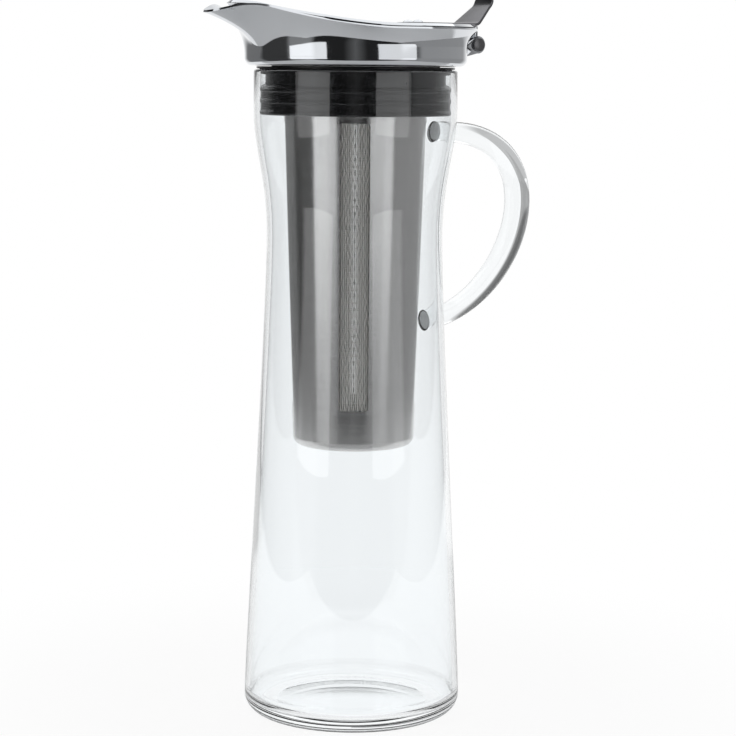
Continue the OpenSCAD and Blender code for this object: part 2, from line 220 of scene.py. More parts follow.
def softened(outline, radius, steps=4, room=0.45):
    """Closed outline with its corners rounded, up to a share (room) of the sides beside each one."""
    soft = []
    for i, corner in enumerate(outline):
        corner = np.array(corner, float)
        before = np.array(outline[i - 1], float) - corner
        after = np.array(outline[(i + 1) % len(outline)], float) - corner
        reach = min(radius, room * np.linalg.norm(before), room * np.linalg.norm(after))
        a = corner + before / np.linalg.norm(before) * reach
        b = corner + after / np.linalg.norm(after) * reach
        for u in np.linspace(0, 1, steps + 1):
            soft.append(tuple((1 - u) ** 2 * a + 2 * u * (1 - u) * corner + u * u * b))
    return soft


# Meshes, as lists of points in millimetres and faces

def grid_faces(rows, columns, wrap_rows=False, wrap_columns=False):
    """Faces of a grid of points that are numbered row by row."""
    faces = []
    for i in range(rows if wrap_rows else rows - 1):
        for j in range(columns if wrap_columns else columns - 1):
            below, beside = (i + 1) % rows, (j + 1) % columns
            faces.append((i * columns + j, i * columns + beside,
                          below * columns + beside, below * columns + j))
    return faces


def revolved(outline, steps=TURN_STEPS, open_ends=False):
    """An outline turned about Z. It is closed, or starts and ends on the axis."""
    turns = [2 * math.pi * i / steps for i in range(steps)]
    points = [(r * math.cos(t), r * math.sin(t), z) for t in turns for r, z in outline]
    return points, grid_faces(steps, len(outline), True, not open_ends)


def lofted(sections, closed=False):
    """Closed sections joined in a row: to a ring, or to a bar with an end face at each end."""
    size = len(sections[0])
    points = [p for section in sections for p in section]
    faces = grid_faces(len(sections), size, closed, True)
    if not closed:
        last = (len(sections) - 1) * size
        faces += [tuple(range(size)), tuple(range(last, last + size))]
    return points, faces


def merged(*forms):
    """Several forms as one list of points and faces."""
    points, faces = [], []
    for form_points, form_faces in forms:
        faces += [tuple(i + len(points) for i in face) for face in form_faces]
        points += list(form_points)
    return points, faces


def moved(form, matrix):
    """A form turned and shifted by a matrix."""
    return [tuple(matrix @ Vector(p)) for p in form[0]], form[1]


def made_mesh(name, form):
    """Mesh in metres, with doubled points joined and its faces turned outwards."""
    mesh = bpy.data.meshes.new(name)
    mesh.from_pydata([tuple(c * MM for c in p) for p in form[0]], [], form[1])
    work = bmesh.new()
    work.from_mesh(mesh)
    bmesh.ops.remove_doubles(work, verts=work.verts, dist=1e-7)
    bmesh.ops.dissolve_degenerate(work, edges=work.edges, dist=1e-8)
    bmesh.ops.recalc_face_normals(work, faces=work.faces)
    work.to_mesh(mesh)
    work.free()
    return mesh


def piece(name, form, material, body, nodes, crease=38):
    """Shows a form, or a mesh, as a piece that moves with a body and stands for CAD nodes, if any."""
    mesh = form if isinstance(form, bpy.types.Mesh) else made_mesh(name, form)
    shown = bpy.data.objects.new(name, mesh)
    bpy.context.scene.collection.objects.link(shown)
    mesh.materials.clear()
    mesh.materials.append(material)
    mesh.shade_smooth()
    mesh.set_sharp_from_angle(angle=math.radians(crease))
    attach(shown, body)
    if nodes:
        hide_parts(*nodes)


def plate(loops, width, middle_y=0.0, edge=0.18, sharp=60):
    """Sheet cut to outlines in X and Z, the first one its edge and the rest holes, pushed out along Y."""
    work = bmesh.new()
    for loop in loops:
        ring = [work.verts.new((x, middle_y - width / 2, z)) for x, z in loop]
        for a, b in zip(ring, ring[1:] + ring[:1]):
            work.edges.new((a, b))
    bmesh.ops.triangle_fill(work, edges=work.edges[:], use_beauty=True)
    pushed = bmesh.ops.extrude_face_region(work, geom=work.faces[:])
    top = [v for v in pushed["geom"] if isinstance(v, bmesh.types.BMVert)]
    bmesh.ops.translate(work, verts=top, vec=(0, width, 0))
    bmesh.ops.recalc_face_normals(work, faces=work.faces)
    rim = [e for e in work.edges if len(e.link_faces) == 2 and e.calc_face_angle() > math.radians(sharp)]
    bmesh.ops.bevel(work, geom=rim, offset=edge, segments=2, profile=0.5, affect="EDGES")
    # The fill and the bevel order points, faces and corners anew on each run, so these are sorted. A quad
    # turns by two corners, which keeps its diagonal
    verts = sorted(work.verts, key=lambda v: tuple(v.co))
    number = {v: i for i, v in enumerate(verts)}
    faces = [tuple(number[v] for v in f.verts) for f in work.faces]
    faces = sorted(min(f[k:] + f[:k] for k in range(0, len(f), 2 if len(f) == 4 else 1)) for f in faces)
    form = [tuple(v.co) for v in verts], faces
    work.free()
    return form


def fused(base_form, other_form, name):
    """Two overlapping closed forms made into one by a boolean."""
    helpers = [bpy.data.objects.new(name + end, made_mesh(name + end, form))
               for end, form in (("_base", base_form), ("_other", other_form))]
    for helper in helpers:
        bpy.context.scene.collection.objects.link(helper)
    weld = helpers[0].modifiers.new("weld", "BOOLEAN")
    weld.operation = "UNION"
    weld.solver = "EXACT"
    weld.object = helpers[1]
    bpy.context.view_layer.update()
    result = bpy.data.meshes.new_from_object(helpers[0].evaluated_get(bpy.context.evaluated_depsgraph_get()))
    for helper in helpers:
        bpy.data.objects.remove(helper)
    result.name = name
    return result


# Materials

def linear(hex_colour):
    """An sRGB hex colour as linear red, green, blue and alpha."""
    parts = [int(hex_colour[i:i + 2], 16) / 255 for i in (1, 3, 5)]
    return tuple(c / 12.92 if c <= 0.04045 else ((c + 0.055) / 1.055) ** 2.4 for c in parts) + (1.0,)


def per_mm(size):
    """Texture scale of a pattern whose features are this many millimetres apart."""
    return 1 / (size * MM)


def add(tree, kind, inputs=None, **settings):
    """Adds a shader node, sets its properties, and sets or links its inputs.

    A node as an input stands for the first of its outputs in use.
    """
    made = tree.nodes.new("ShaderNode" + kind)
    for name, value in settings.items():
        setattr(made, name, value)
    for name, value in (inputs or {}).items():
        if isinstance(value, bpy.types.Node):
            value = next(output for output in value.outputs if output.enabled)
        if isinstance(value, bpy.types.NodeSocket):
            tree.links.new(value, made.inputs[name])
        else:
            made.inputs[name].default_value = value
    return made


def new_material(name):
    """An empty node material, with its tree and the object's own coordinates."""
    material = bpy.data.materials.new(name)
    material.use_nodes = True
    tree = material.node_tree
    tree.nodes.clear()
    place = add(tree, "TexCoord").outputs["Object"]
    return material, tree, place


def blown_borosilicate():
    """Borosilicate glass, blown and fire polished: clear, faintly blue, with slow waves in its surface."""
    material, tree, place = new_material("blown_borosilicate_glass")
    waves = add(tree, "TexNoise", {"Vector": place, "Scale": per_mm(34), "Detail": 1.0})
    bump = add(tree, "Bump", {"Height": waves, "Strength": 0.06, "Distance": 0.4 * MM})
    glass = add(tree, "BsdfPrincipled", {
        "Base Color": linear("#FCFEFF"), "Roughness": 0.0, "IOR": 1.47, "Transmission Weight": 1.0,
        "Normal": bump})
    add(tree, "OutputMaterial", {"Surface": glass})
    return material


def piped_light_seam():
    """Glass fused to glass: a milky seam with fine bubbles, whose soft pale grey is painted light for the
    light the rod pipes in from the jug.
    """
    material, tree, place = new_material("painted_piped_light_seam")
    bubbles = add(tree, "TexNoise", {"Vector": place, "Scale": per_mm(0.8), "Detail": 3.0})
    tint = add(tree, "Mix", {
        "Factor": bubbles, "A": linear("#EEF1F2"), "B": linear("#FAFBFC")}, data_type="RGBA")
    bump = add(tree, "Bump", {"Height": bubbles, "Strength": 0.1, "Distance": 0.05 * MM})
    milk = add(tree, "BsdfPrincipled", {"Base Color": tint, "Roughness": 0.6, "IOR": 1.47, "Normal": bump})
    add(tree, "OutputMaterial", {"Surface": milk})
    return material


def moulded_silicone():
    """Black silicone, moulded: a satin skin with a fine grain and a little dust-grey in it."""
    material, tree, place = new_material("moulded_black_silicone")
    grain = add(tree, "TexNoise", {"Vector": place, "Scale": per_mm(0.5), "Detail": 3.0})
    cloud = add(tree, "TexNoise", {"Vector": place, "Scale": per_mm(9), "Detail": 2.0})
    tint = add(tree, "Mix", {
        "Factor": cloud, "A": linear("#0F0F10"), "B": linear("#18181A")}, data_type="RGBA")
    sheen = add(tree, "MapRange", {"Value": cloud, "To Min": 0.2, "To Max": 0.3})
    bump = add(tree, "Bump", {"Height": grain, "Strength": 0.05, "Distance": 0.05 * MM})
    rubber = add(tree, "BsdfPrincipled", {
        "Base Color": tint, "Roughness": sheen, "IOR": 1.43, "Normal": bump})
    add(tree, "OutputMaterial", {"Surface": rubber})
    return material


def stainless(name, colours, roughness, grain_mm, stretch, bump_strength, spread=0.0):
    """Stainless steel whose polish runs in fine lines: stretch is how much longer they are in X, Y and Z.

    Spread draws reflections out along the axis, as fine rings turned round a piece do.
    """
    material, tree, place = new_material(name)
    along = add(tree, "Mapping", {"Vector": place, "Scale": tuple(1 / s for s in stretch)})
    lines = add(tree, "TexNoise", {
        "Vector": along, "Scale": per_mm(grain_mm), "Detail": 4.0, "Roughness": 0.6})
    cloud = add(tree, "TexNoise", {"Vector": place, "Scale": per_mm(14), "Detail": 2.0})
    tint = add(tree, "Mix", {
        "Factor": cloud, "A": linear(colours[0]), "B": linear(colours[1])}, data_type="RGBA")
    polish = add(tree, "MapRange", {
        "Value": lines, "From Min": 0.3, "From Max": 0.7, "To Min": roughness[0], "To Max": roughness[1]})
    bump = add(tree, "Bump", {"Height": lines, "Strength": bump_strength, "Distance": 0.02 * MM})
    steel = add(tree, "BsdfPrincipled", {
        "Base Color": tint, "Metallic": 1.0, "Roughness": polish, "Normal": bump,
        "Anisotropic": spread, "Anisotropic Rotation": 0.25})
    if spread:
        rings = add(tree, "Tangent", direction_type="RADIAL", axis="Z")
        tree.links.new(rings.outputs[0], steel.inputs["Tangent"])
    add(tree, "OutputMaterial", {"Surface": steel})
    return material


glass = blown_borosilicate()
piped_light_glass = piped_light_seam()
silicone = moulded_silicone()
# Deep drawn and buffed to a mirror: sharp reflections, with buffing lines that hardly show
lid_steel = stainless("mirror_polished_stainless", ("#D0D3D7", "#D6D9DD"), (0.05, 0.08),
                      0.8, (30, 30, 1), 0.02)
# Drawn, then polished on a lathe: softer reflections that the fine rings draw out up and down
cup_steel = stainless("lathe_polished_stainless", ("#C8C6C5", "#D1CFCE"), (0.2, 0.26),
                      0.5, (60, 60, 1), 0.03, 0.7)
# Wire drawn bright, then dulled by weaving and annealing: a pale, matt grey
wire_steel = stainless("annealed_stainless_wire", ("#E9E7E4", "#F3F1EE"), (0.5, 0.6), 0.5, (1, 1, 1), 0.03)
# Turned bar, left dark and dull by the heat of heading it
pin_steel = stainless("heat_darkened_stainless", ("#6A6A6C", "#767678"), (0.3, 0.36), 0.5, (1, 5, 1), 0.015)
# Blanked strip, tumbled: a darker satin that blurs what it mirrors
lever_steel = stainless("tumbled_stainless", ("#727275", "#7E7E81"), (0.3, 0.34), 0.5, (5, 1, 5), 0.015)


# Glass jug and handle

LOWER_RUN = WAIST_Z - FOOT_ROUND
UPPER_RUN = NECK_Z - WAIST_Z
LOWER_CURVE = ((FOOT_R, FOOT_ROUND), (FOOT_R, FOOT_ROUND + LOWER_EASE[1] * LOWER_RUN),
               (WAIST_R, WAIST_Z - LOWER_EASE[0] * LOWER_RUN), (WAIST_R, WAIST_Z))
UPPER_CURVE = ((WAIST_R, WAIST_Z), (WAIST_R, WAIST_Z + UPPER_EASE[0] * UPPER_RUN),
               (NECK_R, NECK_Z - UPPER_EASE[1] * UPPER_RUN), (NECK_R, NECK_Z))


def jug_r(z):
    """Outside radius of the jug at a height, found by halving the curve's parameter."""
    if z >= NECK_Z:
        return NECK_R
    side = LOWER_CURVE if z < WAIST_Z else UPPER_CURVE
    low, high = 0.0, 1.0
    for _ in range(30):
        middle = (low + high) / 2
        low, high = (middle, high) if bezier(side, middle)[1] < z else (low, middle)
    return float(bezier(side, low)[0])


def jug_form():
    """The blown body: hollow under the foot, rounded foot, waist, straight neck and fire-polished rim."""
    side = curve(LOWER_CURVE, 72) + curve(UPPER_CURVE, 48)
    ring_out = FOOT_R - FOOT_ROUND
    ring_in = ring_out - FOOT_RING_W
    inner_round = FOOT_ROUND - GLASS_T
    inner_corner = (FOOT_R - GLASS_T - inner_round, FLOOR_Z + inner_round)
    hollow = [(ring_in * u, PUNT_DEPTH * (1 - u ** 2)) for u in np.linspace(0, 1, 32)]
    inner = [(r - GLASS_T, z) for r, z in reversed(side) if z > FLOOR_Z + inner_round]
    floor = [(inner_corner[0] * u, FLOOR_Z) for u in np.linspace(0.9, 0, 8)]
    return revolved(
        hollow + arc((ring_out, FOOT_ROUND), FOOT_ROUND, -90, 0, 20) + side
        + arc((NECK_R - GLASS_T / 2, JUG_H - GLASS_T / 2), GLASS_T / 2, 0, 180, 14)
        + inner + arc(inner_corner, inner_round, 0, -90, 16) + floor, open_ends=True)


def handle_line():
    """Middle of the handle's rod, (radius, height), from the upper weld to the lower one."""
    z0, z1 = HANDLE_Z
    middle = z0 * HANDLE_BULGE_SHARE + z1 * (1 - HANDLE_BULGE_SHARE)
    r0, r1 = jug_r(z0) - GLASS_T / 2, jug_r(z1) - GLASS_T / 2
    upper = ((r0, z0), (r0 + ROOT_OUT[0] * (HANDLE_REACH - r0), z0 + ROOT_LIFT[0]),
             (HANDLE_REACH, middle + BOW_HOLD[0] * (z0 - middle)), (HANDLE_REACH, middle))
    lower = ((HANDLE_REACH, middle), (HANDLE_REACH, middle - BOW_HOLD[1] * (middle - z1)),
             (r1 + ROOT_OUT[1] * (HANDLE_REACH - r1), z1 + ROOT_LIFT[1]), (r1, z1))
    return [np.array(p) for p in [upper[0]] + curve(upper, 80) + curve(lower, 80)]


def handle_form():
    """The rod, swelling to its farthest point and spreading where it is fused to the wall."""
    line = handle_line()
    run = run_along(line)
    sections = []
    for i, middle in enumerate(line):
        along = line[min(i + 1, len(line) - 1)] - line[max(i - 1, 0)]
        along /= np.linalg.norm(along)
        end = min(run[i], run[-1] - run[i])
        radius = (ROD_END_R + (ROD_R - ROD_END_R) * math.sin(math.pi * run[i] / run[-1])
                  + WELD_FLARE * max(0.0, 1 - end / WELD_RUN) ** WELD_POWER)
        section = []
        for turn in np.linspace(0, 2 * math.pi, SMALL_STEPS, endpoint=False):
            x = middle[0] + radius * math.cos(turn) * along[1]
            y = radius * math.sin(turn)
            z = middle[1] - radius * math.cos(turn) * along[0]
            if end < 1e-6:
                x = math.sqrt((jug_r(z) - GLASS_T / 2) ** 2 - y * y)
            section.append((x, y, z))
        sections.append(section)
    return lofted(sections)


piece("glass_body", fused(jug_form(), handle_form(), "glass_body"), glass, "jug",
      ("glass_jug", "glass_handle"), crease=60)


def piped_light_lenses_form():
    """A lens of pale, bubbly glass across each root of the rod: painted light for the light the rod pipes in.
    """
    line = handle_line()
    run = run_along(line)
    turns = np.linspace(-math.pi / 2, math.pi / 2, 17)
    half = [(SEAM_R * math.cos(t), SEAM_T / 2 * math.sin(t)) for t in turns]
    seams = []
    for place in (SEAM_RUN, run[-1] - SEAM_RUN):
        i = int(np.searchsorted(run, place))
        along = line[i + 1] - line[i - 1]
        face = Matrix.Rotation(math.atan2(along[0], along[1]), 4, "Y")
        seams.append(moved(revolved(half, SMALL_STEPS, open_ends=True),
                           Matrix.Translation((line[i][0], 0, line[i][1])) @ face))
    return merged(*seams)


# Pale lenses at the rod's roots: painted light, for the light that the rod pipes in from the jug
piece("piped_light_seams", piped_light_lenses_form(), piped_light_glass, "jug", ())


# Silicone stopper

def stopper_form():
    """Moulded stopper: thin flange on the rim, centring band, groove, finned plug and inner shelf."""
    band_z = JUG_H - BAND_H
    plug_top = band_z - GROOVE_H
    body_r = PLUG_R - FIN_DEPTH
    flat = FIN_FLAT * FIN_R
    fins = []
    for i in range(FIN_COUNT):
        z = PLUG_Z + FIN_R + i * (plug_top - PLUG_Z - 2 * FIN_R) / (FIN_COUNT - 1)
        fins += [(body_r, z - FIN_R), (PLUG_R, z - flat), (PLUG_R, z + flat), (body_r, z + FIN_R)]
    outline = [(SHELF_R, PLUG_Z)] + fins + [
        (PLUG_R - GROOVE_DEPTH, plug_top + GROOVE_SLANT), (PLUG_R - GROOVE_DEPTH, band_z), (PLUG_R, band_z),
        (PLUG_R, FLANGE_Z[0]), (FLANGE_R, FLANGE_Z[0]), (FLANGE_R, FLANGE_Z[1]), (BORE_R, FLANGE_Z[1]),
        (BORE_R, PLUG_Z + SHELF_T), (SHELF_R, PLUG_Z + SHELF_T)]
    return revolved(softened(outline, STOPPER_EDGE))


piece("silicone_stopper", stopper_form(), silicone, "stopper", ("stopper_gasket",))


# Filter cup, its ring and its mesh

def cup_r(z):
    """Outside radius of the cup at a height."""
    return CUP_FLOOR_R + CUP_SLOPE * (z - CUP_Z)


def slot_half(z):
    """Half of a slot's width at a height, with its corners rounded."""
    reach = min(z - SLOT_Z[0], SLOT_Z[1] - z)
    if reach >= SLOT_ROUND:
        return SLOT_W / 2
    short = SLOT_ROUND - max(0.0, reach)
    return SLOT_W / 2 - SLOT_ROUND + math.sqrt(max(0.0, SLOT_ROUND ** 2 - short ** 2))


def cup_form():
    """Drawn cup with a round lower corner, open at the top, with slots stamped through its wall."""
    ease = [SLOT_ROUND * (1 - math.cos(t)) for t in np.linspace(0, math.pi / 2, 7)]
    slot_rows = [SLOT_Z[0] + e for e in ease]
    slot_rows += list(np.linspace(SLOT_Z[0] + SLOT_END, SLOT_Z[1] - SLOT_END, 24))
    slot_rows += [SLOT_Z[1] - e for e in reversed(ease)]
    corner = (cup_r(CUP_Z + CUP_ROUND) - CUP_ROUND, CUP_Z + CUP_ROUND)
    low = [(r, CUP_Z) for r in np.linspace(0.0, corner[0], 10)[1:-1]] + arc(corner, CUP_ROUND, -90, 0, 12)
    rows = low + [(cup_r(z), z) for z in slot_rows] + [(cup_r(CUP_MOUTH_Z), CUP_MOUTH_Z)]
    first, last = len(low), len(low) + len(slot_rows) - 1
    across, between = 10, 30
    columns = SLOT_COUNT * (across + between)

    def turn_at(column, z):
        """Angle of a column: columns that bound a slot follow its edge."""
        sector, place = divmod(column, across + between)
        start = CUP_TURN + sector * SLOT_STEP
        edge = math.asin(slot_half(min(max(z, SLOT_Z[0]), SLOT_Z[1])) / cup_r(z))
        if place <= across:
            return start + edge * (2 * place / across - 1)
        return start + edge + (SLOT_STEP - 2 * edge) * (place - across) / between

    def layer(inset):
        """Outer or inner points, row by row, with the middle of the floor last."""
        points = []
        for i, (r, z) in enumerate(rows):
            at = (r - inset, z)
            if i < len(low) and r > corner[0]:
                shrink = (CUP_ROUND - inset) / CUP_ROUND
                at = (corner[0] + (r - corner[0]) * shrink, corner[1] + (z - corner[1]) * shrink)
            elif i < len(low):
                at = (r, z + inset)
            points += [(at[0] * math.cos(turn_at(j, z)), at[0] * math.sin(turn_at(j, z)), at[1])
                       for j in range(columns)]
        return points + [(0, 0, CUP_Z + inset)]

    size = len(rows) * columns
    points = layer(0.0) + layer(CUP_T)
    faces = []
    open_cells = set()
    for i in range(len(rows) - 1):
        for j in range(columns):
            if first <= i < last and j % (across + between) < across:
                open_cells.add((i, j))
                continue
            beside = (j + 1) % columns
            quad = (i * columns + j, i * columns + beside, (i + 1) * columns + beside, (i + 1) * columns + j)
            faces += [quad, tuple(size + 1 + v for v in reversed(quad))]
    for i, j in open_cells:
        beside = (j + 1) % columns
        sides = {(i, j - 1): ((i, j), (i + 1, j)), (i, j + 1): ((i, beside), (i + 1, beside)),
                 (i - 1, j): ((i, j), (i, beside)), (i + 1, j): ((i + 1, j), (i + 1, beside))}
        for neighbour, ((a, b), (c, d)) in sides.items():
            if neighbour not in open_cells:
                p, q = a * columns + b, c * columns + d
                faces.append((p, q, size + 1 + q, size + 1 + p))
    top = (len(rows) - 1) * columns
    for j in range(columns):
        beside = (j + 1) % columns
        faces.append((top + j, top + beside, size + 1 + top + beside, size + 1 + top + j))
        faces += [(size, beside, j), (2 * size + 1, size + 1 + j, size + 1 + beside)]
    return points, faces


def ring_form():
    """Flat ring round the cup's mouth, with a rounded outer edge."""
    low = CUP_MOUTH_Z - RING_T
    half = RING_T / 2
    inner = [(cup_r(CUP_MOUTH_Z) + SKIN, CUP_MOUTH_Z), (cup_r(low) + SKIN, low)]
    return revolved(inner + arc((RING_R - half, low + half), half, -90, 90, 10))


def wire_form(line, outwards, radius, sides=6):
    """A wire along a line of points, given which way each one faces out of the cloth."""
    line, outwards = np.array(line), np.array(outwards)
    along = np.gradient(line, axis=0)
    along /= np.linalg.norm(along, axis=1)[:, None]
    across = np.cross(along, outwards)
    turns = np.linspace(0, 2 * math.pi, sides, endpoint=False)
    return lofted([[tuple(p + radius * (math.cos(t) * n + math.sin(t) * c)) for t in turns]
                   for p, n, c in zip(line, outwards, across)])


def mesh_form(strip):
    """Reverse Dutch weave behind one slot: upright warps packed side by side over thin wefts, so that no
    light comes through. The real wires are several times finer: these are the finest that show.
    """
    start = CUP_TURN + strip * SLOT_STEP
    low, high = SLOT_Z[0] - 2 * MESH_LAP, SLOT_Z[1] + 2 * MESH_LAP
    half = SLOT_W / 2 + MESH_LAP
    wave = WARP_R + WEFT_R
    depth = CUP_T + MESH_GAP + wave + WARP_R

    def point(side, z, lift=0.0):
        """Place on the cloth, and the direction straight out of it."""
        r = cup_r(z) - depth + lift
        turn = start + math.asin(side / r)
        out = (math.cos(turn), math.sin(turn), 0.0)
        return (r * out[0], r * out[1], z), out

    rows = np.linspace(low, high, 2 * int((high - low) / WEFT_PITCH) + 1)
    sides = np.linspace(-half, half, int(half / WARP_R) + 1)
    wires = []
    for i, side in enumerate(sides):
        lifts = [wave * math.sin(math.pi / 2 * j + math.pi * i) for j in range(len(rows))]
        line = [point(side, z, lift) for z, lift in zip(rows, lifts)]
        wires.append(wire_form(*zip(*line), WARP_R))
    for z in rows[1::2]:
        wires.append(wire_form(*zip(*[point(side, z) for side in sides]), WEFT_R))
    return merged(*wires)


piece("drawn_cup", cup_form(), cup_steel, "filter", ("filter_cup",))
piece("cup_ring", ring_form(), cup_steel, "filter", ("filter_ring",))
for strip in range(SLOT_COUNT):
    name = f"wire_mesh_{strip + 1}"
    piece(name, mesh_form(strip), wire_steel, "filter", (f"mesh_strip_{strip + 1}",), crease=70)


# Pouring lid

def beak(round_r, reach, tip_r, turn):
    """Radius at an angle off the tip of a circle that is drawn out to a smaller tip circle."""
    middle = max(reach - tip_r, 1e-6)
    flat = math.acos(min(1.0, (round_r - tip_r) / middle))
    nose = math.atan2(tip_r * math.sin(flat), middle + tip_r * math.cos(flat))
    if turn < nose:
        return middle * math.cos(turn) + math.sqrt(max(0.0, tip_r ** 2 - (middle * math.sin(turn)) ** 2))
    return round_r / math.cos(flat - turn) if turn < flat else round_r


CLIMB = SPOUT_RISE / (CREST_X - CLIMB_X) ** 2


def rim_line(x):
    """Height of the collar's rim over its seat, at a distance from the axis towards the spout."""
    over = min(max(0.0, x - CREST_X), CREST_LEN)
    past = max(0.0, x - CREST_X - CREST_LEN)
    slope = 2 * CLIMB * (CREST_X - CLIMB_X)
    bow = (slope + LIP_DROP) / 2 / CREST_LEN
    return (RIM_H + CLIMB * max(0.0, min(x, CREST_X) - CLIMB_X) ** 2 + slope * over - bow * over ** 2
            - LIP_DROP * past)


def flare_r(turn, share):
    """Outside radius of the collar, a share of the way from its lower edge to its rim."""
    rim = beak(COLLAR_R + RIM_FLARE, TIP_X, SPOUT_TIP_R, turn)
    behind = (max(0.0, share - WALL_SHARE) / (1 - WALL_SHARE)) ** 2
    ahead = share ** BELL_POWER
    near = (1 + math.cos(math.pi * min(1.0, turn / SPOUT_SPREAD))) / 2
    return COLLAR_R + (rim - COLLAR_R) * (behind + (ahead - behind) * near)


def flare_at(turn, share):
    """Point of the collar's outside, (radius, height over the seat)."""
    top = rim_line(flare_r(turn, 1.0) * math.cos(turn))
    return np.array((flare_r(turn, share), LIP_ROUND + share * (top - LIP_ROUND)))


def flare_pair(turn, share):
    """Outer and inner point of the collar's sheet."""
    step = 0.02
    along = flare_at(turn, min(1.0, share + step)) - flare_at(turn, max(0.0, share - step))
    along /= np.linalg.norm(along)
    outer = flare_at(turn, share)
    return outer, outer + COLLAR_T * np.array((-along[1], along[0]))


def collar_section(turn):
    """Closed section of the collar's sheet: seat, lower edge, wall, flare, the rim's cut edge, back inside.

    The rim is cut a hair below the source's, so that it stays inside the source's box.
    """
    middle = (COLLAR_R - LIP_ROUND, LIP_ROUND)
    seat_in = SLEEVE_R - SLEEVE_T
    pairs = [flare_pair(turn, share) for share in np.linspace(0, RIM_CUT, 41)[1:]]
    return ([(seat_in, 0.0)] + arc(middle, LIP_ROUND, -90, 0, 12) + [outer for outer, _ in pairs]
            + [inner for _, inner in reversed(pairs)] + arc(middle, LIP_ROUND - COLLAR_T, 0, -90, 10)
            + [(seat_in, COLLAR_T)])


def collar_form():
    """Drawn collar with its beak, in sections that crowd towards the spout."""
    steps, crowding = 320, 0.55
    sections = []
    for i in range(steps):
        s = 2 * i / steps - 1
        turn = math.pi * ((1 - crowding) * s + crowding * s ** 3)
        sections.append([(-r * math.cos(turn), -r * math.sin(turn), SEAT_Z + z)
                         for r, z in collar_section(abs(turn))])
    return lofted(sections, closed=True)


def sleeve_form():
    """Tube under the collar that plugs the lid into the stopper."""
    low, high = SEAT_Z - SLEEVE_H, SEAT_Z - SKIN
    inner = SLEEVE_R - SLEEVE_T
    return revolved(softened([(inner, low), (SLEEVE_R, low), (SLEEVE_R, high), (inner, high)], SHEET_EDGE))


def flap_form():
    """Sheet flap that follows the rim, with an edge ground off above and a nose towards the spout."""
    turns = np.linspace(0, 2 * math.pi, 320, endpoint=False)
    half = (FLAP_T + FLAP_HEM) / 2
    shares = list(np.linspace(0, 1, 26)[1:])
    sections = []
    for turn in turns:
        off_tip = abs((turn + math.pi) % (2 * math.pi) - math.pi)
        edge = beak(FLAP_BACK_R, FLAP_REACH, FLAP_NOSE_R, off_tip)
        flat = [(s * edge, -half) for s in shares]
        back = [(s * (edge - FLAP_CHAMFER), half) for s in reversed(shares)]
        section = [(0.0, -half)] + flat + [(edge, FLAP_LAND - half)] + back + [(0.0, half)]
        sections.append([
            (-r * math.cos(turn), -r * math.sin(turn),
             SEAT_Z + rim_line(r * math.cos(turn)) + COLLAR_T + SLIP - FLAP_HEM + half + lift)
            for r, lift in section])
    points = [p for section in sections for p in section]
    return points, grid_faces(len(sections), len(sections[0]), True, False)


piece("drawn_collar", collar_form(), lid_steel, "lid", ("spout_collar",))
piece("plug_sleeve", sleeve_form(), lid_steel, "lid", ("collar_sleeve",))
piece("pouring_flap", flap_form(), lid_steel, "flap", ("lid_flap",))


# Hinge and thumb lever

def bracket_form():
    """Bent sheet behind the collar: a curved back on the wall and two ears with an eye for the pin."""
    low, high = SEAT_Z + LIP_ROUND, SEAT_Z + LIP_ROUND + WALL_SHARE * (RIM_H - LIP_ROUND)
    face_r = COLLAR_R + SKIN
    reach = math.asin((EAR_IN + EAR_T) / face_r)
    outer_r = face_r + EAR_T
    square = softened([(face_r, low), (outer_r, low), (outer_r, high), (face_r, high)], SHEET_EDGE)
    back = [[(r * math.cos(turn), r * math.sin(turn), z) for r, z in square]
            for turn in np.linspace(-reach, reach, 25)]
    wrap = 90 + EYE_WRAP * math.degrees(math.asin(min(1, EAR_R / (HINGE_X - face_r))))
    start = face_r * math.cos(reach) + EAR_INSET
    eye = arc((HINGE_X, HINGE_Z), EAR_R, -wrap, wrap, 20)
    ear = [(start, low + EAR_INSET)] + eye + [(start, high - EAR_INSET)]
    hole = arc((HINGE_X, HINGE_Z), PIN_R + SKIN, 0, 345, 23)
    ears = [plate([ear, hole], EAR_T, side * (EAR_IN + EAR_T / 2)) for side in (-1, 1)]
    return merged(lofted(back), *ears)


def pin_form():
    """Turned pin with domed heads outside the ears."""
    outer = EAR_IN + EAR_T + SKIN
    head = arc((HEAD_R - HEAD_ROUND, outer + HEAD_T - HEAD_ROUND), HEAD_ROUND, 0, 60, 4)
    half = [(PIN_R, outer), (HEAD_R, outer)] + head + [(0.0, outer + HEAD_T)]
    outline = [(r, -h) for r, h in reversed(half)] + half
    turn = Matrix.Translation((HINGE_X, 0, HINGE_Z)) @ Matrix.Rotation(math.pi / 2, 4, "X")
    return moved(revolved(outline, SMALL_STEPS, open_ends=True), turn)


def knuckle_form():
    """Rolled leaf: a barrel round the pin and a web that rises to the lever."""
    half = WEB_T / 2
    side = math.degrees(math.acos(half / KNUCKLE_R))
    barrel = arc((HINGE_X, HINGE_Z), KNUCKLE_R, 180 - side, 360 + side, 44)
    outline = barrel + [(HINGE_X + half, STRIP_Z), (HINGE_X - half, STRIP_Z)]
    hole = arc((HINGE_X, HINGE_Z), KNUCKLE_BORE_R, 0, 345, 23)
    return plate([outline, hole], KNUCKLE_W, edge=0.2)


